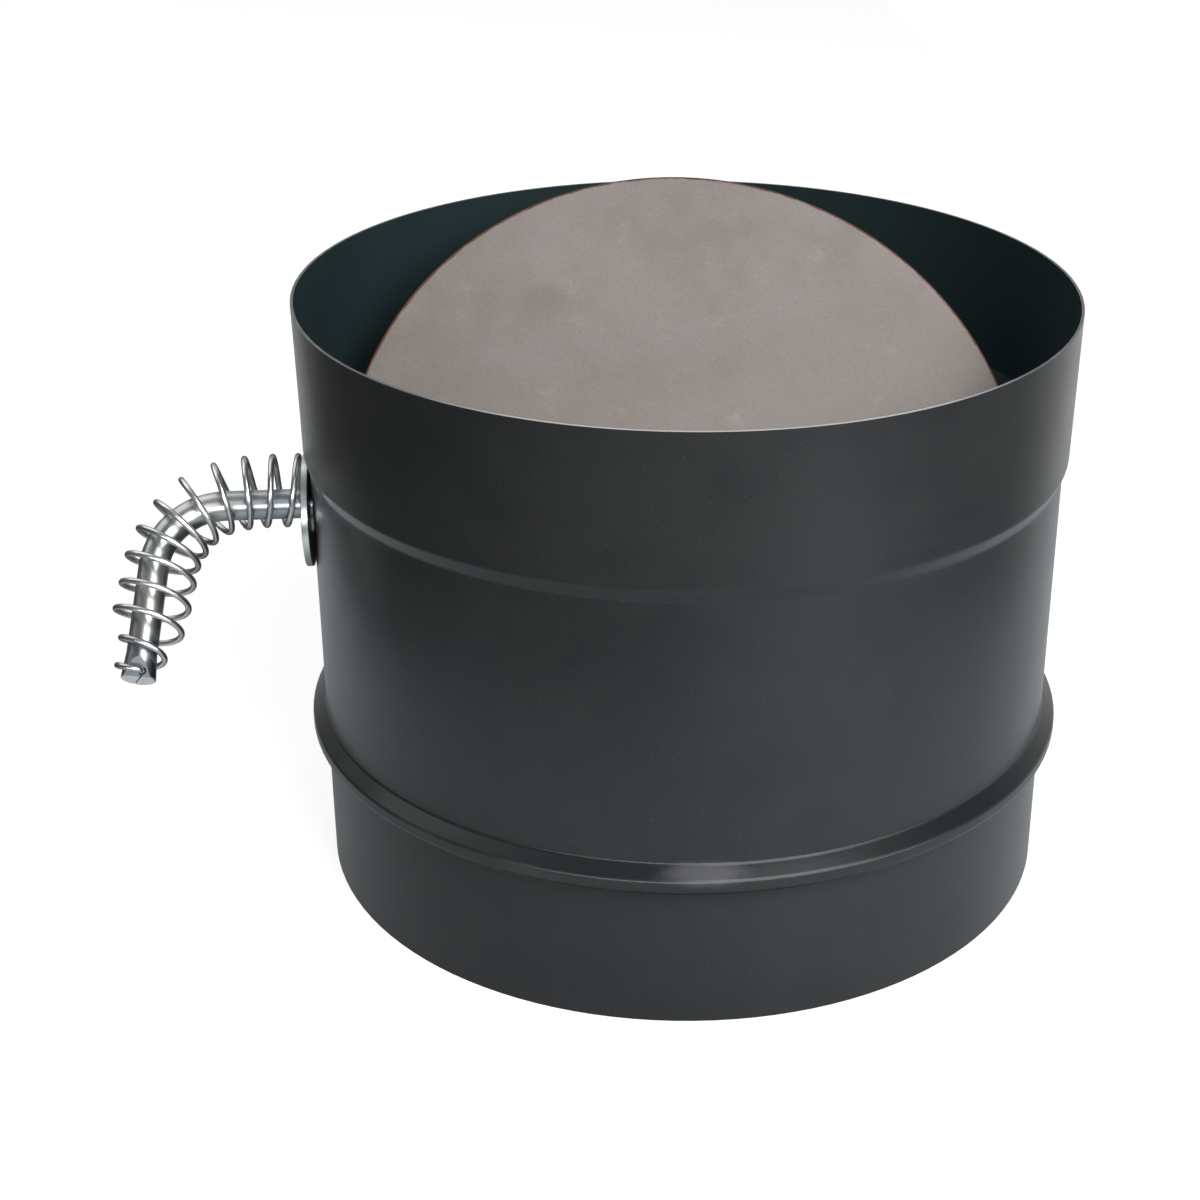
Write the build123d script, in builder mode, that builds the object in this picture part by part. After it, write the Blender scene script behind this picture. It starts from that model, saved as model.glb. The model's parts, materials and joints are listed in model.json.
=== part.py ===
# Stovepipe damper: a section of sheet steel pipe with a round plate that turns on a sprung handle rod.
# Millimetres. Z is the pipe's axis, Z = 0 the cut end of its male end, X the line of the rod.
# The handle stands on the -X side. The plate is modelled half open, with its back edge up.
import os
from math import cos, pi, radians, sin, sqrt, tan

from build123d import *

os.makedirs("parts", exist_ok=True)

# Pipe section, outside sizes
sheet = 0.76
wall_diameter = 203.2
collar_root_diameter = 206.0
rim_diameter = 207.2
collar_depth = 40.0
joggle_height = 3.2
joggle_radius = 2.5
bead_height = 43.0
bead_width = 9.0
bead_depth = 3.8
bead_crest = 3.0
bead_crest_radius = 2.8
bead_root_radius = 1.2

# Where the rod crosses the pipe, and how far the plate is turned from closed
pivot_height = 104.6
washer_to_step = 1.6
open_angle = 46.0

# Handle rod
rod_diameter = 8.0
shaft_hole_clearance = 0.4
handle_reach = 124.8
handle_bend_radius = 19.2
handle_bend_angle = 82.5
grip_length = 31.4
far_end_stand_out = 3.0
far_end_chamfer = 0.8
tip_length = 7.0
tip_width = 9.3
tip_flat_length = 5.3
tip_flat_angle = 15.0
tip_end_angle = 4.5
tip_chamfer = 0.25

# Coil spring on the handle
wire_diameter = 1.65
spring_turns = 11
spring_radius = 9.2
spring_seat_offset = 3.9
spring_bend_offset = -2.1
spring_offset_lead = 10.4
spring_offset_trail = 6.5
spring_lean = 78.0
spring_lean_trail = 7.5
spring_slant = 6.0
spring_pitch_growth = 0.11
spring_tip_radius = 5.85
spring_tip_turns = 1.65
spring_tip_taper_turns = 0.85
spring_lead_in_turns = 0.25
hook_height = 1.6
hook_lead = 1.4
hook_turn = 112.0
hook_bend_radius = 1.8
hook_insertion = 2.4
hook_hole_clearance = 0.15
tip_kerf = 0.4
spring_arc_turns = 0.25
spring_gap_steps = 36
spring_seat_gap = 0.15

# Damper plate
plate_diameter = 186.6
plate_thickness = 1.5
plate_edge_round = 0.4
seat_gap = 0.05

# Saddle straps that hold the rod under the plate, and their rivets
strap_thickness = 1.5
strap_width = 16.0
strap_span = 90.0
strap_flange = 12.0
strap_bend_radius = 1.0
strap_corner_radius = 3.0
rivet_diameter = 4.0
rivet_span = 23.0
rivet_head_diameter = 8.0
rivet_head_height = 2.2
rivet_tail_diameter = 7.0
rivet_tail_height = 1.8
fastener_clearance = 0.1

# Screw that locks the rod to the plate
screw_diameter = 4.0
screw_head_diameter = 8.0
screw_head_height = 2.6
screw_head_round = 1.4
screw_slot_width = 1.1
screw_slot_depth = 1.3
screw_end_stand_out = 1.2
nut_across_flats = 7.0
nut_height = 3.2
lock_washer_diameter = 7.6
lock_washer_thickness = 0.9
lock_washer_slit = 0.7

# Washers on the rod, one against each side of the wall by the handle
outer_washer_diameter = 30.5
outer_washer_hole = 12.2
outer_washer_thickness = 1.9
outer_washer_gap = 0.2
outer_washer_lean = 1.6
washer_rest_gap = 0.15
inner_washer_diameter = 18.0
inner_washer_thickness = 1.5
inner_washer_gap = 0.3
washer_edge_bevel = 0.2

# Split pin that keeps the rod from being pulled out by the spring
pin_wire = 0.9
pin_leg_gap = 0.1
pin_hole_clearance = 0.15
pin_eye_radius = 2.3
pin_stand_out = 3.5
pin_spread = 2.0
pin_spread_length = 3.5
pin_bend_radius = 1.5

# Sizes that follow from the ones above
wall_radius = wall_diameter / 2
wall_bore_radius = wall_radius - sheet
collar_root_radius = collar_root_diameter / 2
rim_radius = rim_diameter / 2
rod_radius = rod_diameter / 2
wire_radius = wire_diameter / 2
plate_bottom = rod_radius + seat_gap
plate_top = plate_bottom + plate_thickness
bend_length = handle_bend_radius * radians(handle_bend_angle)
rod_tip = handle_reach + bend_length + grip_length
outer_washer_drop = outer_washer_hole / 2 - rod_radius - washer_rest_gap
joggle_foot = pivot_height - outer_washer_drop + outer_washer_diameter / 2 + washer_to_step
joggle_top = joggle_foot + joggle_height
pipe_height = joggle_top + collar_depth

# The rod's own frame: X along the rod, Y up the slope of the plate, Z out of the plate's upper face
rod_frame = Plane(
    origin=(0, 0, pivot_height),
    x_dir=(1, 0, 0),
    z_dir=(0, -sin(radians(open_angle)), cos(radians(open_angle))),
)


def on_rod(x, y=0.0, z=0.0):
    """The point at x, y, z in the rod's frame."""
    return rod_frame.from_local_coords(Vector(x, y, z))


def across_rod(x):
    """The plane square to the rod at x: its X up the plate's slope, its Y out of the plate's upper face."""
    return Plane(origin=on_rod(x), x_dir=rod_frame.y_dir, z_dir=rod_frame.x_dir)


def beside_rod(x, y=0.0):
    """The plane along the rod at x, y: its X along the rod, its Y out of the plate's upper face."""
    return Plane(origin=on_rod(x, y), x_dir=rod_frame.x_dir, z_dir=-rod_frame.y_dir)


# Pipe: one rolled sheet with a swelled collar on top, a stop bead and a plain male end
bead_low = bead_height - bead_width / 2
bead_high = bead_height + bead_width / 2
shaft_hole_radius = rod_radius + shaft_hole_clearance

with BuildPart() as pipe_body:
    with BuildSketch(Plane.XZ):
        with BuildLine():
            skin = FilletPolyline(
                (wall_radius, 0),
                (wall_radius, bead_low),
                (wall_radius + bead_depth, bead_height - bead_crest / 2),
                (wall_radius + bead_depth, bead_height + bead_crest / 2),
                (wall_radius, bead_high),
                (wall_radius, joggle_foot),
                (collar_root_radius, joggle_top),
                (rim_radius, pipe_height),
                radius=[
                    bead_root_radius,
                    bead_crest_radius / 2,
                    bead_crest_radius / 2,
                    bead_root_radius,
                    joggle_radius,
                    joggle_radius,
                ],
            )
            offset(skin, amount=sheet, side=Side.LEFT)
        make_face()
    revolve(axis=Axis.Z)
    with BuildSketch(Plane.YZ):
        with Locations((0, pivot_height)):
            Circle(shaft_hole_radius)
    extrude(amount=wall_radius, both=True, mode=Mode.SUBTRACT)
pipe_body.part.label = "pipe_body"

# Damper plate: a plain disc that lies on the rod
rivet_spots = [
    (x, y)
    for x in (-strap_span / 2, strap_span / 2)
    for y in (-rivet_span / 2, rivet_span / 2)
]

with BuildPart() as damper_plate:
    with BuildSketch(rod_frame.offset(plate_bottom)):
        Circle(plate_diameter / 2)
        with Locations(*rivet_spots):
            Circle(rivet_diameter / 2 + fastener_clearance, mode=Mode.SUBTRACT)
        Circle(screw_diameter / 2 + fastener_clearance, mode=Mode.SUBTRACT)
    extrude(amount=plate_thickness)
    rims = damper_plate.edges().filter_by(GeomType.CIRCLE).sort_by(SortBy.RADIUS)[-2:]
    fillet(rims, plate_edge_round)
damper_plate.part.label = "damper_plate"

# Washers: the inner one's edge stays inside the curved wall, the outer one hangs on the rod,
# rocked a little on the round wall by the spring, with its front edge outwards
inner_washer_radius = inner_washer_diameter / 2
inner_washer_face = sqrt(wall_bore_radius**2 - inner_washer_radius**2) - inner_washer_gap
inner_washer_back = inner_washer_face - inner_washer_thickness
outer_washer_face = wall_radius + outer_washer_gap
rock = radians(outer_washer_lean)
outer_washer_plane = Plane(
    origin=(-outer_washer_face, 0, pivot_height - outer_washer_drop),
    x_dir=(0, 0, 1),
    z_dir=(-cos(rock), sin(rock), 0),
)
spring_reach = spring_seat_offset + spring_radius + wire_radius
spring_seat = outer_washer_face + outer_washer_thickness / cos(rock) + spring_reach * tan(rock)

with BuildPart() as handle_washer:
    with BuildSketch(outer_washer_plane):
        Circle(outer_washer_diameter / 2)
        Circle(outer_washer_hole / 2, mode=Mode.SUBTRACT)
    extrude(amount=outer_washer_thickness)
    rims = handle_washer.edges().filter_by(GeomType.CIRCLE).sort_by(SortBy.RADIUS)[-2:]
    chamfer(rims, washer_edge_bevel)
handle_washer.part.label = "handle_washer"

with BuildPart() as inner_washer:
    with BuildSketch(across_rod(-inner_washer_face)):
        Circle(inner_washer_radius)
        Circle(rod_radius + shaft_hole_clearance, mode=Mode.SUBTRACT)
    extrude(amount=inner_washer_thickness)
    rims = inner_washer.edges().filter_by(GeomType.CIRCLE).sort_by(SortBy.RADIUS)[-2:]
    chamfer(rims, washer_edge_bevel)
inner_washer.part.label = "inner_washer"

# Split pin: two legs side by side through the rod, an eye above it and the ends spread below
pin_half_step = (pin_wire + pin_leg_gap) / 2
pin_outer_radius = pin_half_step + pin_wire / 2
pin_hole_radius = pin_outer_radius + pin_hole_clearance
pin_x = -(inner_washer_back - pin_hole_clearance - pin_outer_radius)
pin_plane = across_rod(pin_x)
eye_height = rod_radius + seat_gap + pin_eye_radius + pin_wire / 2
leg_end = -(rod_radius + pin_stand_out)

with BuildPart() as split_pin:
    with Locations(Plane(origin=pin_plane.from_local_coords(Vector(0, eye_height)), z_dir=pin_plane.z_dir)):
        Torus(pin_eye_radius, pin_wire / 2)
    for side in (-1, 1):
        with BuildLine(pin_plane) as leg_line:
            FilletPolyline(
                (side * pin_half_step, eye_height - pin_eye_radius),
                (side * pin_half_step, leg_end),
                (side * (pin_half_step + pin_spread), leg_end - pin_spread_length),
                radius=pin_bend_radius,
            )
        with BuildSketch(Plane(origin=leg_line.line @ 0, z_dir=leg_line.line % 0)):
            Circle(pin_wire / 2)
        sweep(path=leg_line.line)
split_pin.part.label = "split_pin"

# Handle rod: straight through the pipe, bent down outside it. Its tip is hammered flat in front, cut
# off a little askew, and drilled and slit for the spring's end
far_end = wall_radius + far_end_stand_out


def rod_at(run):
    """The rod's centre at a distance along it from the pipe's axis, in its frame, and its bend there."""
    bend = min(max(run - handle_reach, 0) / handle_bend_radius, radians(handle_bend_angle))
    beyond = max(run - handle_reach - bend_length, 0)
    x = -min(run, handle_reach) - handle_bend_radius * sin(bend) - beyond * cos(bend)
    y = -handle_bend_radius * (1 - cos(bend)) - beyond * sin(bend)
    return x, y, bend


def from_tip(distance):
    """The plane square to the grip at a distance from its end: its X to the outside of the bend."""
    x, y, bend = rod_at(rod_tip - distance)
    out = on_rod(-sin(bend), cos(bend)) - on_rod(0)
    along = on_rod(-cos(bend), -sin(bend)) - on_rod(0)
    return Plane(origin=on_rod(x, y), x_dir=out, z_dir=along)


def flat_at(distance):
    """How far the tip's flat is from the rod's centre, at a distance from its end."""
    return rod_radius - (tip_flat_length - distance) * tan(radians(tip_flat_angle))


tip_end = from_tip(0)
tip_side = Plane(origin=tip_end.origin, x_dir=tip_end.z_dir, z_dir=tip_end.x_dir)
tip_half = tip_width / 2
tip_overrun = tip_half * tan(radians(tip_end_angle))
hook_level = from_tip(hook_height)
hook_side = hook_level.x_dir * cos(radians(hook_turn)) - hook_level.y_dir * sin(radians(hook_turn))
hook_plane = Plane(origin=hook_level.origin, x_dir=hook_side, z_dir=hook_level.z_dir)

with BuildPart() as damper_shaft:
    with BuildLine(rod_frame) as rod_line:
        straight = Line((far_end, 0), (-handle_reach, 0))
        bend = JernArc(straight @ 1, straight % 1, handle_bend_radius, handle_bend_angle)
        Line(bend @ 1, bend @ 1 + (bend % 1) * (grip_length - tip_length))
    with BuildSketch(Plane(origin=rod_line.line @ 0, z_dir=rod_line.line % 0)):
        Circle(rod_radius)
    sweep(path=rod_line.line)
    chamfer(damper_shaft.faces().sort_by(Axis.X)[-1].edges(), far_end_chamfer)
    with BuildSketch(from_tip(tip_length)):
        Circle(rod_radius)
    with BuildSketch(from_tip(-tip_overrun)):
        Ellipse(tip_half, rod_radius)
    loft()
    with BuildSketch(tip_side):
        Polygon(
            (-tip_length, flat_at(tip_length)),
            (tip_overrun, flat_at(-tip_overrun)),
            (tip_overrun, flat_at(tip_length)),
        )
        Polygon((-tip_overrun, tip_half), (tip_overrun, -tip_half), (tip_overrun, tip_half))
    extrude(amount=tip_width, both=True, mode=Mode.SUBTRACT)
    end_face = damper_shaft.faces().sort_by(Axis(tip_end.origin, tip_end.z_dir))[-1]
    chamfer(end_face.edges(), tip_chamfer)
    with BuildSketch(Plane(origin=pin_plane.origin, z_dir=pin_plane.y_dir)):
        Circle(pin_hole_radius)
    extrude(amount=rod_diameter, both=True, mode=Mode.SUBTRACT)
    with BuildSketch(rod_frame):
        Circle(screw_diameter / 2 + fastener_clearance)
    extrude(amount=rod_diameter, both=True, mode=Mode.SUBTRACT)
    with BuildSketch(Plane(origin=hook_plane.origin, z_dir=hook_side)):
        Circle(wire_radius + hook_hole_clearance)
    extrude(amount=tip_width, both=True, mode=Mode.SUBTRACT)
    with BuildSketch(hook_plane):
        Rectangle(tip_width * 2, tip_kerf)
    extrude(amount=2 * hook_height, mode=Mode.SUBTRACT)
damper_shaft.part.label = "damper_shaft"

# Saddle straps: each a pressed strip that passes under the rod and meets the plate on both sides of it
saddle_bore = rod_radius + seat_gap
flange_end = saddle_bore + strap_thickness + strap_flange


def saddle(x):
    """A strap round the rod, centred at x, with its rivet holes."""
    with BuildPart() as strap:
        with BuildSketch(across_rod(x - strap_width / 2)):
            with BuildLine():
                outer_bend = strap_bend_radius + strap_thickness
                FilletPolyline(
                    (-flange_end, plate_bottom),
                    (-saddle_bore, plate_bottom),
                    (-saddle_bore, 0),
                    radius=outer_bend,
                )
                ThreePointArc((-saddle_bore, 0), (0, -saddle_bore), (saddle_bore, 0))
                FilletPolyline(
                    (saddle_bore, 0),
                    (saddle_bore, plate_bottom),
                    (flange_end, plate_bottom),
                    radius=outer_bend,
                )
                offset(amount=strap_thickness, side=Side.RIGHT)
            make_face()
        extrude(amount=strap_width)
        upright = strap.edges().filter_by(Axis((0, 0, 0), rod_frame.z_dir))
        fillet(upright.sort_by_distance(on_rod(x))[-4:], strap_corner_radius)
        with BuildSketch(rod_frame):
            with Locations(*[spot for spot in rivet_spots if spot[0] == x]):
                Circle(rivet_diameter / 2 + fastener_clearance)
        extrude(amount=plate_top, mode=Mode.SUBTRACT)
    return strap


near_saddle = saddle(-strap_span / 2)
near_saddle.part.label = "near_saddle"
far_saddle = saddle(strap_span / 2)
far_saddle.part.label = "far_saddle"

# Rivets: round heads on the plate, round tails under the straps
rivet_foot = plate_bottom - strap_thickness
rivet_shank = rivet_diameter / 2

with BuildPart() as saddle_rivets:
    for x, y in rivet_spots:
        with BuildSketch(beside_rod(x, y)):
            with BuildLine():
                tail = TangentArc(
                    (0, rivet_foot - rivet_tail_height), (rivet_tail_diameter / 2, rivet_foot), tangent=(1, 0)
                )
                head = TangentArc(
                    (0, plate_top + rivet_head_height), (rivet_head_diameter / 2, plate_top), tangent=(1, 0)
                )
                Polyline(tail @ 1, (rivet_shank, rivet_foot), (rivet_shank, plate_top), head @ 1)
                Line(tail @ 0, head @ 0)
            make_face()
        revolve(axis=Axis(on_rod(x, y), rod_frame.z_dir))
saddle_rivets.part.label = "saddle_rivets"

# Screw, lock washer and nut that hold the rod and the plate from turning on each other
lock_washer_low = -(rod_radius + seat_gap + lock_washer_thickness)
nut_low = lock_washer_low - nut_height
screw_low = nut_low - screw_end_stand_out
screw_radius = screw_diameter / 2

with BuildPart() as lock_screw:
    with BuildSketch(rod_frame.offset(screw_low)):
        Circle(screw_radius)
    extrude(amount=plate_top - screw_low)
    with BuildSketch(rod_frame.offset(plate_top)):
        Circle(screw_head_diameter / 2)
    extrude(amount=screw_head_height)
    top_face = lock_screw.faces().sort_by(Axis(on_rod(0), rod_frame.z_dir))[-1]
    fillet(top_face.edges(), screw_head_round)
    with BuildSketch(rod_frame.offset(plate_top + screw_head_height)):
        Rectangle(screw_head_diameter, screw_slot_width)
    extrude(amount=-screw_slot_depth, mode=Mode.SUBTRACT)
lock_screw.part.label = "lock_screw"

with BuildPart() as lock_washer:
    with BuildSketch(rod_frame.offset(lock_washer_low)):
        Circle(lock_washer_diameter / 2)
        Circle(screw_radius + fastener_clearance, mode=Mode.SUBTRACT)
        with Locations((lock_washer_diameter / 2, 0)):
            Rectangle(lock_washer_diameter, lock_washer_slit, mode=Mode.SUBTRACT)
    extrude(amount=lock_washer_thickness)
lock_washer.part.label = "lock_washer"

with BuildPart() as lock_nut:
    with BuildSketch(rod_frame.offset(nut_low)):
        RegularPolygon(nut_across_flats / 2, 6, major_radius=False)
        Circle(screw_radius + seat_gap, mode=Mode.SUBTRACT)
    extrude(amount=nut_height)
lock_nut.part.label = "lock_nut"

# Coil spring: left-handed turns round the bent rod, drawn in near its tip and hooked through it
spring_start = spring_seat + spring_seat_gap + wire_radius
spring_end = rod_tip - hook_height - hook_lead
offset_start = handle_reach - spring_offset_lead
offset_end = handle_reach + bend_length - spring_offset_trail
lean_end = handle_reach + bend_length + spring_lean_trail
hook_lift = wire_radius + hook_hole_clearance
hook_approach = (flat_at(hook_height) + hook_lift) / sin(radians(hook_turn))


def ease(share):
    """A smooth step from 0 to 1."""
    share = min(max(share, 0), 1)
    return share * share * (3 - 2 * share)


def wire_at(turn):
    """The centre of the spring's wire at a count of turns from the washer."""
    share = max(turn, 0) / spring_turns
    run = spring_start + (spring_end - spring_start) * share * (1 + spring_pitch_growth * (share - 1))
    x, y, bend = rod_at(run)
    bend_share = ease((run - offset_start) / (offset_end - offset_start))
    aside = spring_seat_offset
    aside += (spring_bend_offset - spring_seat_offset) * bend_share
    aside -= spring_bend_offset * ease((run - offset_end) / (rod_tip - offset_end))
    leaning = ease((run - spring_start) / (lean_end - spring_start))
    lean = radians(spring_lean) * leaning
    slant = radians(spring_slant) * (1 - leaning)
    drawing_in = ease((turn - spring_turns + spring_tip_turns) / spring_tip_taper_turns)
    radius = spring_radius + (spring_tip_radius - spring_radius) * drawing_in
    outward = radius * cos(2 * pi * turn)
    forward = radius * sin(2 * pi * turn)
    x += -aside * sin(bend) - outward * sin(lean) + forward * sin(slant) * cos(lean)
    y += aside * cos(bend) + outward * cos(lean) + forward * sin(slant) * sin(lean)
    return on_rod(x, y, forward * cos(slant))


def wire_heading(turn):
    """The wire's direction at a count of turns."""
    step = 1e-4
    return (wire_at(turn + step) - wire_at(turn - step)).normalized()


def biarc(start, start_heading, end, end_heading):
    """Two arcs from start to end that keep the heading at both and meet smoothly between them."""
    chord = end - start
    pull = chord.dot(start_heading + end_heading)
    spread = 2 * (1 - start_heading.dot(end_heading))
    reach = (sqrt(pull**2 + spread * chord.dot(chord)) - pull) / spread
    corner = start + start_heading * reach
    far_corner = end - end_heading * reach
    joint = (corner + far_corner) / 2
    TangentArc(start, joint, tangent=start_heading)
    TangentArc(joint, end, tangent=far_corner - corner)


def least_gap(path, diameter, steps_per_turn, turns):
    """The least gap of a wound wire to itself, on points along it that lie half a turn or more apart."""
    count = round(steps_per_turn * turns)
    points = [path @ (i / count) for i in range(count + 1)]
    apart = steps_per_turn // 2
    pairs = ((a, b) for i, a in enumerate(points) for b in points[i + apart :])
    return min((a - b).length for a, b in pairs) - diameter


with BuildPart() as handle_spring:
    with BuildLine() as wire_line:
        stations = round((spring_turns + spring_lead_in_turns) / spring_arc_turns)
        turns = [i * spring_arc_turns - spring_lead_in_turns for i in range(stations + 1)]
        first = wire_at(turns[0])
        Line(first - wire_heading(turns[0]) * wire_diameter, first)
        for turn, next_turn in zip(turns, turns[1:]):
            biarc(wire_at(turn), wire_heading(turn), wire_at(next_turn), wire_heading(next_turn))
        inward = -hook_side
        onward = -hook_plane.y_dir
        approach = hook_plane.origin - inward * hook_approach - onward * hook_bend_radius
        dive = hook_plane.origin - inward * (hook_approach - hook_bend_radius)
        biarc(wire_at(turns[-1]), wire_heading(turns[-1]), approach, onward)
        TangentArc(approach, dive, tangent=onward)
        Line(dive, dive + inward * hook_insertion)
    with BuildSketch(Plane(origin=wire_line.line @ 0, z_dir=wire_line.line % 0)):
        Circle(wire_radius)
    sweep(path=wire_line.line)
handle_spring.part.label = "handle_spring"

wire = wire_line.wires()[0]
wire_gap = least_gap(wire, wire_diameter, spring_gap_steps, spring_turns)
wire_volume = pi * wire_radius**2 * wire.length
print(f"handle_spring: wire {wire.length:.1f} mm long, least gap to itself {wire_gap:.2f} mm")
print(f"handle_spring: volume {handle_spring.part.volume:.2f}, section times length {wire_volume:.2f}")

for piece in (
    pipe_body,
    damper_plate,
    damper_shaft,
    handle_spring,
    handle_washer,
    inner_washer,
    split_pin,
    near_saddle,
    far_saddle,
    saddle_rivets,
    lock_screw,
    lock_washer,
    lock_nut,
):
    export_step(piece.part, f"parts/{piece.part.label}.step")
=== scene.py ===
"""Stovepipe damper: finishes, floor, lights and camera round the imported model, in metres."""
import json
import math

import bpy
from mathutils import Matrix, Vector


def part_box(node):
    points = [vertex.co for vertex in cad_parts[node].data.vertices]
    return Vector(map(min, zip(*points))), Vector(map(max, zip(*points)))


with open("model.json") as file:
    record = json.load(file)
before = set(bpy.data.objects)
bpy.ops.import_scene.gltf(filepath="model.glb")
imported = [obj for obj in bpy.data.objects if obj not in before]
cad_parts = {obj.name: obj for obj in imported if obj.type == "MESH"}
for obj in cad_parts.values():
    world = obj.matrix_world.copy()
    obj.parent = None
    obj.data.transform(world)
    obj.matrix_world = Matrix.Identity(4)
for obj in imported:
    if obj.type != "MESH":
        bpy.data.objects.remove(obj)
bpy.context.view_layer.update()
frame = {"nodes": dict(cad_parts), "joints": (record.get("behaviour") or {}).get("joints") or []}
nodes = frame["nodes"]

# Plate: opened about the rod, which lies along X; its upper face is this far over the rod's axis
OPEN_ANGLE = math.radians(46)
PLATE_NORMAL = Vector((0, -math.sin(OPEN_ANGLE), math.cos(OPEN_ANGLE)))
PLATE_TOP = 0.00555
PIVOT = Vector(frame["joints"][0]["pos_m"])
PLATE_CENTRE = PIVOT + PLATE_NORMAL * PLATE_TOP
PLATE_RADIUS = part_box("damper_plate")[1].x
HEAT_TINT_WIDTH = 0.0008

# Rod: the way that its sawn end faces, and the stretch of X in which the tip ends and the rest begins
ROD_END_FACES = (-0.13, -0.74, -0.66)
ROD_TIP_OUTER = -0.137
ROD_TIP_INNER = -0.133

# Pipe: the heights of the step under the collar and of the stop bead, and how deep the bead's crest is
STEP_HEIGHT = 0.1220
BEAD_HEIGHT = 0.043
BEAD_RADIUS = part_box("pipe_body")[1].x
CREST_DEPTH = 0.0007

# Cut edges: bare at the very front, and less and less so up to this far back, along Y
BARE_FRONT = -0.098
BARE_BACK = -0.07

# Painted shade in the fold over the bead: where it begins and ends over the bead's middle, and how much of it
# shows
FOLD_BEGINS = (0.0012, 0.0020)
FOLD_ENDS = (0.0042, 0.0054)
FOLD_SHADE_SHARE = 0.65

# Inner side: it faces the axis, so the normal times the way out from the axis is below these limits there;
# and how much its colour cast shows
INSIDE_FACES = (-0.06, -0.02)
INSIDE_SHARE = 0.75

# Dents: how far from the step and the bead they reach, and how deep they are there and elsewhere, in grains
STEP_DENTED = (0.001, 0.005)
BEAD_DENTED = (0.003, 0.008)
STEP_DENTS = 8.0
BEAD_DENTS = 10.0
WALL_DENTS = 6.0

# Relief: what one grain's height is on the paint and on the plate, and one line's on the small metal pieces
PAINT_GRAIN = 0.00002
PLATE_GRAIN = 0.00001
LINE_GRAIN = 0.0000015

# Painted highlight: a pale spot on the bead's upper flank, the only one there: its place round the pipe, and
# half its size
HIGHLIGHT_TURN = math.radians(-3.4)
HIGHLIGHT_RADIUS = 0.1038
HIGHLIGHT_HEIGHT = 0.0458
HIGHLIGHT_PLACE = Vector((HIGHLIGHT_RADIUS * math.sin(HIGHLIGHT_TURN), -HIGHLIGHT_RADIUS * math.cos(HIGHLIGHT_TURN), HIGHLIGHT_HEIGHT))
HIGHLIGHT_SIZE = (0.0115, 0.006, 0.0030)

# Paint colours
PAINT_SHEEN = (0.96, 0.985, 1.0, 1)
PAINT_DARK = (0.0265, 0.0290, 0.0305, 1)
PAINT_LIGHT = (0.0330, 0.0350, 0.0358, 1)
PAINT_DUST = (0.12, 0.12, 0.12, 1)
PAINT_INSIDE = (0.018, 0.036, 0.040, 1)
# painted shade in the fold over the bead
PAINT_FOLD_SHADE = (0.006, 0.008, 0.009, 1)
# pale wear on the bead's crest, and the painted highlight on its flank
PAINT_WEAR_AND_HIGHLIGHT = (0.152, 0.153, 0.168, 1)
SHEET_BARE = (0.62, 0.61, 0.60, 1)

# Plate colours
PLATE_DARK = (0.212, 0.184, 0.166, 1)
PLATE_LIGHT = (0.256, 0.225, 0.217, 1)
PLATE_GREENISH = (0.226, 0.222, 0.200, 1)
PLATE_SMEAR = (0.36, 0.335, 0.32, 1)
PLATE_PIT = (0.13, 0.11, 0.10, 1)
PLATE_GLINT = (0.62, 0.60, 0.58, 1)
PLATE_HEAT_TINT = (0.105, 0.045, 0.030, 1)

# Plate's stains and smears: how far they are moved in the noise, so that they don't lie on its clouds
MARKS_MOVED = (0.3, 0.1, 0.2)

# Sawn end: its colours, and how much rougher it is than the drawn rod
SAWN_DARK = (0.62, 0.62, 0.61, 1)
SAWN_LIGHT = (0.86, 0.85, 0.83, 1)
SAWN_ROUGHER = 0.2

# Lines on the small metal pieces: drawn out along X, or the same all ways
DRAWN_ALONG_X = (0.1, 1, 1)
ALL_WAYS = (1, 1, 1)

# Camera, as fitted to the photograph: aim, distance, turn, and the optical axis in its 1200 pixel frame;
# the sensor in millimetres
PHOTO_WIDTH = 1200
CAMERA_AIM = Vector((0.00775, -0.00097, 0.04613))
CAMERA_DISTANCE = 0.65795
CAMERA_AZIMUTH = math.radians(-7.1)
CAMERA_ELEVATION = math.radians(27.675)
CAMERA_ROLL = math.radians(0.8935)
FOCAL_PIXELS = 2291.54
OPTICAL_AXIS_X = 711.85
OPTICAL_AXIS_Y = 679.21
SENSOR_WIDTH = 36

# Floor: its outline and finish, how bright the camera and reflections see it, and the shade that reflections
# see round the foot
FLOOR_CORNERS = ((-0.25, -0.14), (0.28, -0.5), (0.28, 1.5), (-0.25, 1.5))
FLOOR_GAP = 0.0001
FLOOR_TONE = 0.4
FLOOR_ROUGHNESS = 0.8
FLOOR_SHOWN = 0.8
FLOOR_MIRRORED = 0.47
FLOOR_MIRRORED_COLOUR = (0.83, 0.94, 1.0, 1)
SHADE_CENTRE = (-0.045, 0.0, 0.0)
SHADE_INNER = 0.09
SHADE_OUTER = 0.17
SHADE_LEVEL = 0.4

# Studio walls: which way is behind the object, how bright they are in front of it, and the share of their
# brightness that lights matt surfaces
BACK_DIRECTION = (0.3, 0.954, 0.0)
BACK_BEGINS = 0.38
FRONT_LEVEL = 0.12
SOFT_LEVEL = 0.5

# Lamps: the point that they all face
LIGHT_AIM = Vector((0, 0, 0.1))

WHITE = (1, 1, 1, 1)

# The Mix node's colour sockets by number, because it has others of the same names
MIX_SHARE, MIX_FIRST, MIX_SECOND, MIX_RESULT = 0, 6, 7, 2


def set_inputs(tree, node, inputs):
    """Sets a node's sockets, by name or number, to values, or feeds them from other sockets."""
    for name, value in inputs.items():
        if isinstance(value, bpy.types.NodeSocket):
            tree.links.new(value, node.inputs[name])
        else:
            node.inputs[name].default_value = value


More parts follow.
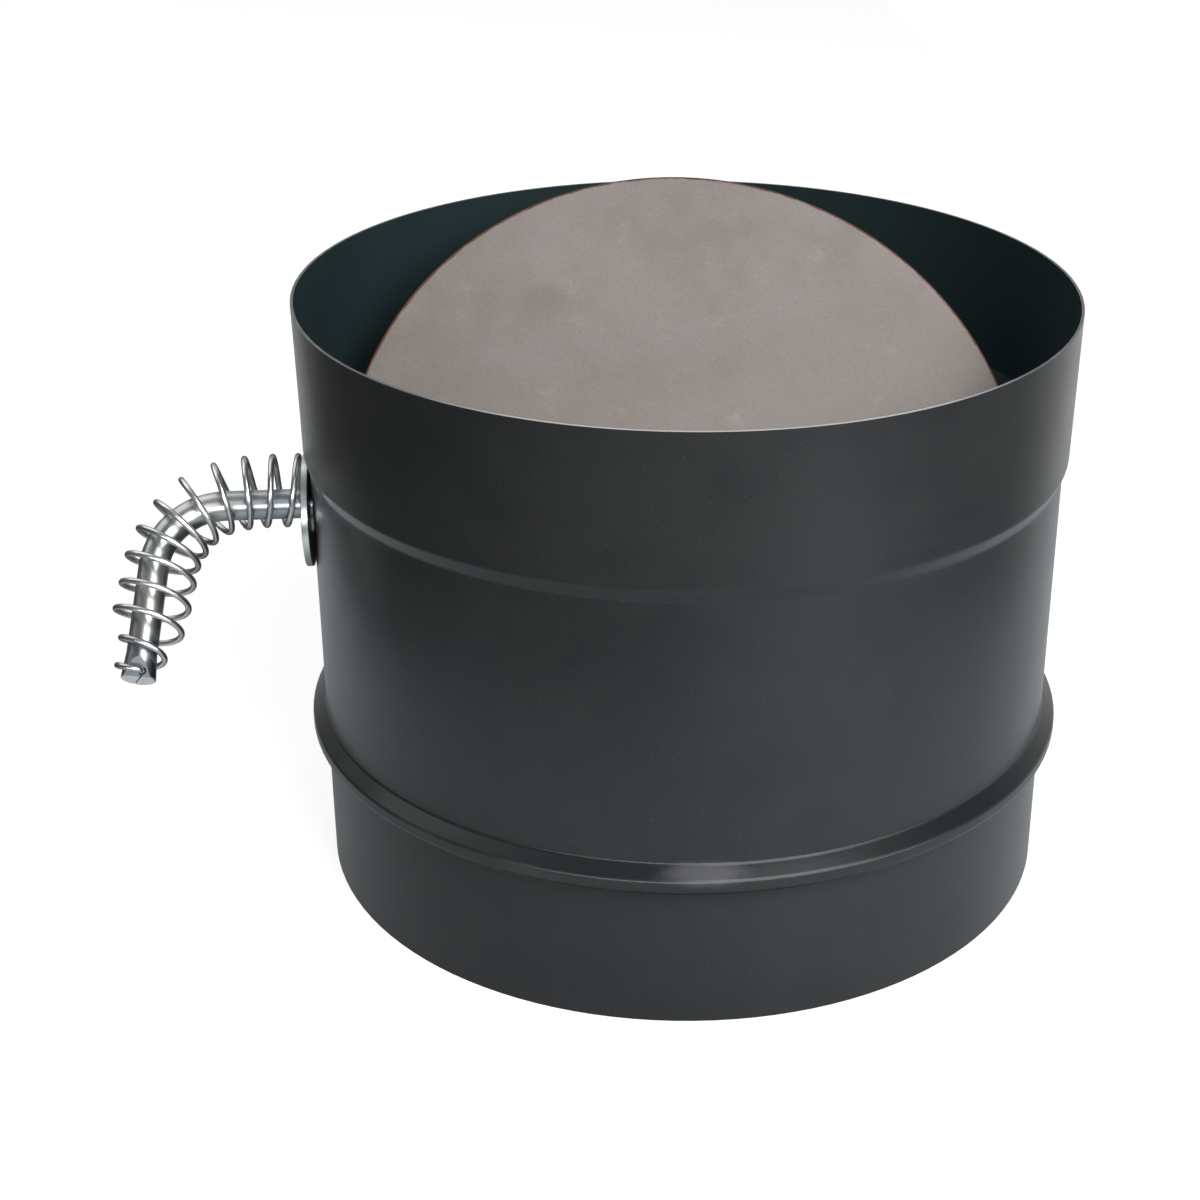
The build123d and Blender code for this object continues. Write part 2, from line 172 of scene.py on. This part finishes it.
def place(tree, kind, inputs=None, **settings):
    """Adds a shader node with its settings and inputs."""
    node = tree.nodes.new(kind)
    for name, value in settings.items():
        setattr(node, name, value)
    set_inputs(tree, node, inputs or {})
    return node


def calculate(tree, operation, first, second=0.0, clamp=False):
    """A number worked out from two others."""
    node = place(tree, "ShaderNodeMath", {0: first, 1: second}, operation=operation, use_clamp=clamp)
    return node.outputs[0]


def calculate_vector(tree, operation, *vectors):
    """A vector worked out from others or, for a length, a distance or a dot product, a number."""
    node = place(tree, "ShaderNodeVectorMath", dict(enumerate(vectors)), operation=operation)
    gives_number = operation in ("LENGTH", "DISTANCE", "DOT_PRODUCT")
    return node.outputs["Value" if gives_number else "Vector"]


def fade(tree, value, start, end, to=(0.0, 1.0)):
    """A number that goes smoothly from one level to another while the value goes from start to end."""
    inputs = {"Value": value, "From Min": start, "From Max": end, "To Min": to[0], "To Max": to[1]}
    return place(tree, "ShaderNodeMapRange", inputs, interpolation_type="SMOOTHSTEP").outputs[0]


def noise(tree, vector, scale, detail=3.0, roughness=0.5):
    """Soft noise, from 0 to 1, at so many waves to the metre."""
    inputs = {"Vector": vector, "Scale": scale, "Detail": detail, "Roughness": roughness}
    return place(tree, "ShaderNodeTexNoise", inputs).outputs[0]


def blend_colour(tree, share, first, second):
    """Two colours mixed by a share of the second."""
    node = place(tree, "ShaderNodeMix", data_type="RGBA")
    set_inputs(tree, node, {MIX_SHARE: share, MIX_FIRST: first, MIX_SECOND: second})
    return node.outputs[MIX_RESULT]


def lay_over(tree, colour, layers):
    """A colour with others laid over it in turn, each by its own share."""
    for share, layer in layers:
        colour = blend_colour(tree, share, colour, layer)
    return colour


def start_group(name, inputs, outputs):
    """A shader node group with named sockets: its tree, its inputs and a function that feeds its outputs."""
    tree = bpy.data.node_groups.new(name, "ShaderNodeTree")
    for socket_name, socket_type, default in inputs:
        socket = tree.interface.new_socket(socket_name, in_out="INPUT", socket_type=socket_type)
        if default is not None:
            socket.default_value = default
    for socket_name, socket_type in outputs:
        tree.interface.new_socket(socket_name, in_out="OUTPUT", socket_type=socket_type)
    entry = tree.nodes.new("NodeGroupInput")
    leave = tree.nodes.new("NodeGroupOutput")

    def feed(**values):
        set_inputs(tree, leave, values)

    return tree, entry.outputs, feed


def make_clouds_group():
    """Soft uneven patches in colour and gloss, as on painted, rolled or plated steel."""
    tree, given, feed = start_group(
        "surface_clouds",
        [
            ("Vector", "NodeSocketVector", None),
            ("Scale", "NodeSocketFloat", 20.0),
            ("Dark colour", "NodeSocketColor", (0.2, 0.2, 0.2, 1)),
            ("Light colour", "NodeSocketColor", (0.4, 0.4, 0.4, 1)),
            ("Smoothest", "NodeSocketFloat", 0.3),
            ("Roughest", "NodeSocketFloat", 0.5),
        ],
        [("Colour", "NodeSocketColor"), ("Roughness", "NodeSocketFloat")],
    )
    broad = noise(tree, given["Vector"], given["Scale"], detail=4.0, roughness=0.6)
    finer_scale = calculate(tree, "MULTIPLY", given["Scale"], 5.3)
    finer = noise(tree, given["Vector"], finer_scale, detail=3.0, roughness=0.55)
    broad_part = calculate(tree, "MULTIPLY", broad, 0.7)
    finer_part = calculate(tree, "MULTIPLY", finer, 0.3)
    patch = fade(tree, calculate(tree, "ADD", broad_part, finer_part), 0.36, 0.64)
    span = calculate(tree, "SUBTRACT", given["Roughest"], given["Smoothest"])
    feed(
        Colour=blend_colour(tree, patch, given["Dark colour"], given["Light colour"]),
        Roughness=calculate(tree, "ADD", given["Smoothest"], calculate(tree, "MULTIPLY", span, patch)),
    )
    return tree


def make_grain_group():
    """A fine grain, as of sprayed paint or rolled sheet, with a few specks in it."""
    tree, given, feed = start_group(
        "fine_grain",
        [("Vector", "NodeSocketVector", None), ("Scale", "NodeSocketFloat", 1500.0)],
        [("Height", "NodeSocketFloat"), ("Specks", "NodeSocketFloat")],
    )
    height = noise(tree, given["Vector"], given["Scale"], detail=2.0, roughness=0.6)
    speck_scale = calculate(tree, "MULTIPLY", given["Scale"], 0.55)
    cells = place(tree, "ShaderNodeTexVoronoi", {"Vector": given["Vector"], "Scale": speck_scale})
    near = fade(tree, cells.outputs["Distance"], 0.12, 0.2, to=(1.0, 0.0))
    chosen = fade(tree, noise(tree, given["Vector"], speck_scale, detail=0.0), 0.6, 0.66)
    feed(Height=height, Specks=calculate(tree, "MULTIPLY", near, chosen))
    return tree


def make_lines_group():
    """Fine lines along the axis that is stretched least, as left by drawing, or fine mottle where none is."""
    tree, given, feed = start_group(
        "drawn_lines",
        [
            ("Vector", "NodeSocketVector", None),
            ("Stretch", "NodeSocketVector", (1.0, 1.0, 1.0)),
            ("Scale", "NodeSocketFloat", 900.0),
        ],
        [("Height", "NodeSocketFloat")],
    )
    stretched = calculate_vector(tree, "MULTIPLY", given["Vector"], given["Stretch"])
    feed(Height=noise(tree, stretched, given["Scale"], detail=3.0, roughness=0.65))
    return tree


def make_facing_group():
    """1 where the surface faces along an axis, either way, and 0 where it doesn't."""
    tree, given, feed = start_group(
        "faces_along",
        [
            ("Normal", "NodeSocketVector", None),
            ("Axis", "NodeSocketVector", (0.0, 0.0, 1.0)),
            ("From", "NodeSocketFloat", 0.8),
            ("To", "NodeSocketFloat", 0.95),
        ],
        [("Mask", "NodeSocketFloat")],
    )
    along = calculate_vector(tree, "DOT_PRODUCT", given["Normal"], given["Axis"])
    feed(Mask=fade(tree, calculate(tree, "ABSOLUTE", along), given["From"], given["To"]))
    return tree


clouds_group = make_clouds_group()
grain_group = make_grain_group()
lines_group = make_lines_group()
facing_group = make_facing_group()


def add_group(tree, group, inputs):
    """Places a shared effect in a material: its outputs."""
    return place(tree, "ShaderNodeGroup", inputs, node_tree=group).outputs


def add_clouds(tree, at, scale, dark, light, smoothest, roughest):
    """The patches of one finish: their colour and roughness."""
    values = {
        "Vector": at["Object"],
        "Scale": scale,
        "Dark colour": dark,
        "Light colour": light,
        "Smoothest": smoothest,
        "Roughest": roughest,
    }
    return add_group(tree, clouds_group, values)


def start_material(name, metallic, specular=0.5):
    """A material with a plain Principled shader: its tree, its shader and the object's own coordinates."""
    material = bpy.data.materials.new(name)
    material.use_nodes = True
    tree = material.node_tree
    tree.nodes.clear()
    shader = place(tree, "ShaderNodeBsdfPrincipled", {"Metallic": metallic, "Specular IOR Level": specular})
    place(tree, "ShaderNodeOutputMaterial", {"Surface": shader.outputs[0]})
    coordinates = place(tree, "ShaderNodeTexCoord")
    return material, tree, shader, coordinates.outputs


def find_normal(tree, height, depth):
    """The normal of a surface with this height, depth being what 1 stands for in metres."""
    return place(tree, "ShaderNodeBump", {"Height": height, "Distance": depth, "Strength": 1.0}).outputs[0]


def find_bare_edge(tree, at, y):
    """Where bare steel shows on the sheet's cut edges: in faint spots, and along their front."""
    edge = add_group(tree, facing_group, {"Normal": at["Normal"], "Axis": (0, 0, 1), "From": 0.9, "To": 0.97})
    uneven = noise(tree, at["Object"], scale=160.0, detail=4.0, roughness=0.6)
    spots = fade(tree, uneven, 0.45, 0.7, to=(0.01, 0.10))
    front_bare = fade(tree, y, BARE_FRONT, BARE_BACK, to=(0.8, 0.0))
    return calculate(tree, "MULTIPLY", edge["Mask"], calculate(tree, "ADD", spots, front_bare, clamp=True))


def find_inside(tree, at, from_axis):
    """The pipe's inner side, where the surface faces the axis."""
    outward = calculate_vector(tree, "DOT_PRODUCT", at["Normal"], from_axis)
    return fade(tree, outward, *INSIDE_FACES, to=(INSIDE_SHARE, 0.0))


def find_fold_shade(tree, height):
    """Painted shade: the paint's colour made darker in the fold over the bead, from its crest up to its root.
    """
    over_bead = calculate(tree, "SUBTRACT", height, BEAD_HEIGHT)
    above_crest = fade(tree, over_bead, *FOLD_BEGINS)
    below_root = fade(tree, over_bead, *FOLD_ENDS, to=(FOLD_SHADE_SHARE, 0.0))
    return calculate(tree, "MULTIPLY", above_crest, below_root)


def find_wear_and_highlight(tree, at, from_axis):
    """Where the paint is paler: faint patches of wear on the bead's crest, and on its flank the one spot that
    is a painted highlight.
    """
    crest = fade(tree, calculate_vector(tree, "LENGTH", from_axis), BEAD_RADIUS - CREST_DEPTH, BEAD_RADIUS)
    uneven = noise(tree, at["Object"], scale=60.0, detail=4.0, roughness=0.6)
    patches = fade(tree, uneven, 0.55, 0.7, to=(0.0, 0.12))
    from_spot = calculate_vector(tree, "SUBTRACT", at["Object"], HIGHLIGHT_PLACE)
    reach = calculate_vector(tree, "LENGTH", calculate_vector(tree, "DIVIDE", from_spot, HIGHLIGHT_SIZE))
    ragged = calculate(tree, "MULTIPLY", noise(tree, at["Object"], scale=300.0, roughness=0.6), 0.5)
    spot = fade(tree, calculate(tree, "ADD", reach, ragged), 0.55, 1.5, to=(0.6, 0.0))
    return calculate(tree, "MAXIMUM", calculate(tree, "MULTIPLY", crest, patches), spot)


def make_dents(tree, at, height):
    """The wall's slight unevenness, in grains' heights, with more beside the rolled step and bead."""
    from_step = calculate(tree, "ABSOLUTE", calculate(tree, "SUBTRACT", height, STEP_HEIGHT))
    from_bead = calculate(tree, "ABSOLUTE", calculate(tree, "SUBTRACT", height, BEAD_HEIGHT))
    by_step = fade(tree, from_step, *STEP_DENTED, to=(STEP_DENTS, 0.0))
    by_bead = fade(tree, from_bead, *BEAD_DENTED, to=(BEAD_DENTS, 0.0))
    depth = calculate(tree, "ADD", calculate(tree, "MAXIMUM", by_step, by_bead), WALL_DENTS)
    return calculate(tree, "MULTIPLY", noise(tree, at["Object"], scale=22.0, detail=2.0), depth)


def make_black_paint():
    """Satin black heat-resistant paint, sprayed on the pipe's rolled sheet."""
    material, tree, shader, at = start_material("black_satin_paint", metallic=0.0, specular=0.3)
    shader.inputs["Specular Tint"].default_value = PAINT_SHEEN
    x, y, height = place(tree, "ShaderNodeSeparateXYZ", {0: at["Object"]}).outputs
    from_axis = place(tree, "ShaderNodeCombineXYZ", {0: x, 1: y}).outputs[0]
    clouds = add_clouds(tree, at, 14.0, PAINT_DARK, PAINT_LIGHT, smoothest=0.285, roughest=0.335)
    grain = add_group(tree, grain_group, {"Vector": at["Object"], "Scale": 1300.0})
    bare = find_bare_edge(tree, at, y)
    layers = (
        (calculate(tree, "MULTIPLY", grain["Specks"], 0.3), PAINT_DUST),
        (find_inside(tree, at, from_axis), PAINT_INSIDE),
        (bare, SHEET_BARE),
        # painted shade in the fold over the bead
        (find_fold_shade(tree, height), PAINT_FOLD_SHADE),
        # wear on the bead's crest, and a painted highlight on its flank
        (find_wear_and_highlight(tree, at, from_axis), PAINT_WEAR_AND_HIGHLIGHT),
    )
    relief = calculate(tree, "ADD", grain["Height"], make_dents(tree, at, height))
    surface = {
        "Base Color": lay_over(tree, clouds["Colour"], layers),
        "Metallic": bare,
        "Roughness": clouds["Roughness"],
        "Normal": find_normal(tree, relief, PAINT_GRAIN),
    }
    set_inputs(tree, shader, surface)
    return material


def find_heat_tint(tree, at):
    """The ragged ring along the plate's cut edge."""
    uneven = noise(tree, at["Object"], scale=240.0, roughness=0.6)
    ragged = calculate(tree, "MULTIPLY", uneven, HEAT_TINT_WIDTH * 1.2)
    reach = calculate(tree, "ADD", calculate_vector(tree, "DISTANCE", at["Object"], PLATE_CENTRE), ragged)
    return fade(tree, reach, PLATE_RADIUS - HEAT_TINT_WIDTH * 0.6, PLATE_RADIUS)


def make_plate_steel():
    """Bare rolled sheet with soft cloudy marks and a brown heat tint along its cut edge."""
    material, tree, shader, at = start_material("plate_steel", metallic=0.55)
    clouds = add_clouds(tree, at, 24.0, PLATE_DARK, PLATE_LIGHT, smoothest=0.5, roughest=0.6)
    grain = add_group(tree, grain_group, {"Vector": at["Object"], "Scale": 1400.0})
    elsewhere = calculate_vector(tree, "ADD", at["Object"], MARKS_MOVED)
    stains = noise(tree, elsewhere, scale=30.0, roughness=0.6)
    smears = noise(tree, elsewhere, scale=75.0, detail=4.0, roughness=0.7)
    layers = (
        (fade(tree, stains, 0.44, 0.68, to=(0.0, 0.3)), PLATE_GREENISH),
        (fade(tree, smears, 0.58, 0.72, to=(0.0, 0.22)), PLATE_SMEAR),
        (fade(tree, grain["Height"], 0.4, 0.6, to=(0.0, 0.16)), PLATE_PIT),
        (calculate(tree, "MULTIPLY", grain["Specks"], 0.14), PLATE_GLINT),
        (find_heat_tint(tree, at), PLATE_HEAT_TINT),
    )
    surface = {
        "Base Color": lay_over(tree, clouds["Colour"], layers),
        "Roughness": clouds["Roughness"],
        "Normal": find_normal(tree, grain["Height"], PLATE_GRAIN),
    }
    set_inputs(tree, shader, surface)
    return material


def make_small_metal(name, dark, light, smoothest, roughest, lines_run, line_scale, edge_tone=0.5):
    """The zinc plating or plain steel of the rod, the coil and the fittings, with fine lines."""
    material, tree, shader, at = start_material(name, metallic=1.0)
    shader.inputs["Specular Tint"].default_value = (edge_tone, edge_tone, edge_tone, 1)
    clouds = add_clouds(tree, at, 34.0, dark, light, smoothest, roughest)
    lines = add_group(tree, lines_group, {"Vector": at["Object"], "Stretch": lines_run, "Scale": line_scale})
    surface = {
        "Base Color": clouds["Colour"],
        "Roughness": clouds["Roughness"],
        "Normal": find_normal(tree, lines["Height"], LINE_GRAIN),
    }
    set_inputs(tree, shader, surface)
    return material


def brighten_cut_end(material):
    """The rod's sawn end: cleaner and rougher than its drawn side."""
    tree = material.node_tree
    shader = next(node for node in tree.nodes if node.type == "BSDF_PRINCIPLED")
    plated = shader.inputs["Base Color"].links[0].from_socket
    drawn = shader.inputs["Roughness"].links[0].from_socket
    at = place(tree, "ShaderNodeTexCoord").outputs
    x = place(tree, "ShaderNodeSeparateXYZ", {0: at["Object"]}).outputs[0]
    faces = {"Normal": at["Normal"], "Axis": ROD_END_FACES, "From": 0.975, "To": 0.99}
    facing = add_group(tree, facing_group, faces)
    at_tip = fade(tree, x, ROD_TIP_OUTER, ROD_TIP_INNER, to=(1.0, 0.0))
    cut = calculate(tree, "MULTIPLY", facing["Mask"], at_tip)
    uneven = noise(tree, at["Object"], scale=700.0, roughness=0.6)
    sawn = blend_colour(tree, uneven, SAWN_DARK, SAWN_LIGHT)
    surface = {
        "Base Color": blend_colour(tree, cut, plated, sawn),
        "Roughness": calculate(tree, "ADD", drawn, calculate(tree, "MULTIPLY", cut, SAWN_ROUGHER)),
    }
    set_inputs(tree, shader, surface)


black_paint = make_black_paint()
plate_steel = make_plate_steel()
rod_zinc = make_small_metal(
    "zinc_rod",
    dark=(0.27, 0.32, 0.35, 1),
    light=(0.50, 0.50, 0.48, 1),
    smoothest=0.285,
    roughest=0.34,
    lines_run=DRAWN_ALONG_X,
    line_scale=1500.0,
)
brighten_cut_end(rod_zinc)
wire_zinc = make_small_metal(
    "spring_wire",
    dark=(0.46, 0.48, 0.50, 1),
    light=(0.68, 0.67, 0.65, 1),
    smoothest=0.28,
    roughest=0.32,
    lines_run=ALL_WAYS,
    line_scale=1500.0,
    edge_tone=0.15,
)
washer_zinc = make_small_metal(
    "zinc_washer",
    dark=(0.50, 0.57, 0.59, 1),
    light=(0.74, 0.73, 0.66, 1),
    smoothest=0.28,
    roughest=0.33,
    lines_run=ALL_WAYS,
    line_scale=1000.0,
)
fastener_zinc = make_small_metal(
    "zinc_fasteners",
    dark=(0.25, 0.25, 0.245, 1),
    light=(0.38, 0.38, 0.365, 1),
    smoothest=0.42,
    roughest=0.52,
    lines_run=ALL_WAYS,
    line_scale=1200.0,
)
strap_steel = make_small_metal(
    "strap_steel",
    dark=(0.21, 0.195, 0.18, 1),
    light=(0.32, 0.305, 0.29, 1),
    smoothest=0.46,
    roughest=0.56,
    lines_run=DRAWN_ALONG_X,
    line_scale=900.0,
)
rivet_steel = make_small_metal(
    "rivet_steel",
    dark=(0.30, 0.29, 0.28, 1),
    light=(0.46, 0.45, 0.43, 1),
    smoothest=0.34,
    roughest=0.46,
    lines_run=ALL_WAYS,
    line_scale=700.0,
)

finishes = {
    "pipe_body": black_paint,
    "damper_plate": plate_steel,
    "damper_shaft": rod_zinc,
    "handle_spring": wire_zinc,
    "handle_washer": washer_zinc,
    "inner_washer": washer_zinc,
    "split_pin": fastener_zinc,
    "near_saddle": strap_steel,
    "far_saddle": strap_steel,
    "saddle_rivets": rivet_steel,
    "lock_screw": fastener_zinc,
    "lock_washer": fastener_zinc,
    "lock_nut": fastener_zinc,
}
for node_name, finish in finishes.items():
    for material_slot in nodes[node_name].material_slots:
        material_slot.material = finish


def find_mirrored(tree, path):
    """1 for a ray that comes by way of a reflection or a clear piece."""
    return calculate(tree, "MAXIMUM", path["Is Glossy Ray"], path["Is Transmission Ray"])


def make_floor():
    """A pale sheet that shows white to the camera, keeps the object's shadow and is clear from below."""
    mesh = bpy.data.meshes.new("floor")
    corners = [(x, y, -FLOOR_GAP) for x, y in FLOOR_CORNERS]
    mesh.from_pydata(corners, [], [(0, 1, 2, 3)])
    floor = bpy.data.objects.new("floor", mesh)
    bpy.context.scene.collection.objects.link(floor)
    material, tree, shader, at = start_material("white_floor", metallic=0.0, specular=0.2)
    path = place(tree, "ShaderNodeLightPath").outputs
    underneath = place(tree, "ShaderNodeNewGeometry").outputs["Backfacing"]
    from_foot = calculate_vector(tree, "DISTANCE", at["Object"], SHADE_CENTRE)
    shade = fade(tree, from_foot, SHADE_INNER, SHADE_OUTER, to=(SHADE_LEVEL, 1.0))
    mirrored_glow = calculate(tree, "MULTIPLY", shade, FLOOR_MIRRORED)
    in_reflections = calculate(tree, "MULTIPLY", find_mirrored(tree, path), mirrored_glow)
    in_camera = calculate(tree, "MULTIPLY", path["Is Camera Ray"], FLOOR_SHOWN)
    surface = {
        "Base Color": (FLOOR_TONE, FLOOR_TONE, FLOOR_TONE, 1),
        "Roughness": FLOOR_ROUGHNESS,
        "Emission Color": blend_colour(tree, path["Is Camera Ray"], FLOOR_MIRRORED_COLOUR, WHITE),
        "Emission Strength": calculate(tree, "MAXIMUM", in_camera, in_reflections),
        "Alpha": calculate(tree, "SUBTRACT", 1.0, underneath),
    }
    set_inputs(tree, shader, surface)
    mesh.materials.append(material)


def make_world():
    """Studio walls: white to the camera, and to reflections white behind the object and dim in front."""
    world = bpy.data.worlds.new("studio")
    bpy.context.scene.world = world
    world.use_nodes = True
    tree = world.node_tree
    tree.nodes.clear()
    direction = place(tree, "ShaderNodeTexCoord").outputs["Generated"]
    behind = calculate_vector(tree, "DOT_PRODUCT", direction, BACK_DIRECTION)
    brightness = fade(tree, behind, BACK_BEGINS, 1.0, to=(FRONT_LEVEL, 1.0))
    path = place(tree, "ShaderNodeLightPath").outputs
    extra = calculate(tree, "MULTIPLY", find_mirrored(tree, path), 1 - SOFT_LEVEL)
    strength = calculate(tree, "MULTIPLY", brightness, calculate(tree, "ADD", extra, SOFT_LEVEL))
    walls = place(tree, "ShaderNodeBackground", {"Color": WHITE, "Strength": strength}).outputs[0]
    white = place(tree, "ShaderNodeBackground", {"Color": WHITE, "Strength": 1.0}).outputs[0]
    both = place(tree, "ShaderNodeMixShader", {0: path["Is Camera Ray"], 1: walls, 2: white}).outputs[0]
    place(tree, "ShaderNodeOutputWorld", {"Surface": both})


def make_light(name, azimuth, elevation, distance, width, height, radiance, on_matt=True):
    """A soft light on the object, by degrees right of the front and up. It may show in reflections alone."""
    turn = math.radians(azimuth)
    rise = math.radians(elevation)
    away = Vector((math.sin(turn) * math.cos(rise), -math.cos(turn) * math.cos(rise), math.sin(rise)))
    data = bpy.data.lights.new(name, "AREA")
    data.shape = "RECTANGLE"
    data.size = width
    data.size_y = height
    data.energy = math.pi * width * height * radiance
    light = bpy.data.objects.new(name, data)
    light.location = LIGHT_AIM + away * distance
    light.rotation_euler = away.to_track_quat("Z", "Y").to_euler()
    light.visible_diffuse = on_matt
    bpy.context.scene.collection.objects.link(light)


def make_camera():
    """The photograph's camera."""
    heading = Vector((-math.sin(CAMERA_AZIMUTH), math.cos(CAMERA_AZIMUTH), 0))
    forward = heading * math.cos(CAMERA_ELEVATION) - Vector((0, 0, math.sin(CAMERA_ELEVATION)))
    right = forward.cross(Vector((0, 0, 1))).normalized()
    up = right.cross(forward)
    rolled_right = right * math.cos(CAMERA_ROLL) + up * math.sin(CAMERA_ROLL)
    rolled_up = up * math.cos(CAMERA_ROLL) - right * math.sin(CAMERA_ROLL)
    data = bpy.data.cameras.new("camera")
    data.sensor_width = SENSOR_WIDTH
    data.lens = FOCAL_PIXELS / PHOTO_WIDTH * SENSOR_WIDTH
    data.shift_x = (PHOTO_WIDTH / 2 - OPTICAL_AXIS_X) / PHOTO_WIDTH
    data.shift_y = (OPTICAL_AXIS_Y - PHOTO_WIDTH / 2) / PHOTO_WIDTH
    camera = bpy.data.objects.new("camera", data)
    turn = Matrix((rolled_right, rolled_up, -forward)).transposed()
    camera.matrix_world = Matrix.LocRotScale(CAMERA_AIM - forward * CAMERA_DISTANCE, turn, None)
    bpy.context.scene.collection.objects.link(camera)
    bpy.context.scene.camera = camera


make_floor()
make_world()
make_light("key", azimuth=26, elevation=40, distance=1.4, width=0.9, height=0.9, radiance=8.6)
make_light(
    "low_front", azimuth=10, elevation=10, distance=1.5, width=4.0, height=0.28, radiance=13.0, on_matt=False
)
make_light("top", azimuth=0, elevation=86, distance=1.2, width=1.0, height=1.0, radiance=0.2)
make_light("fill", azimuth=-125, elevation=48, distance=1.3, width=1.2, height=1.2, radiance=1.5)
make_camera()
bpy.context.scene.view_settings.view_transform = "Standard"
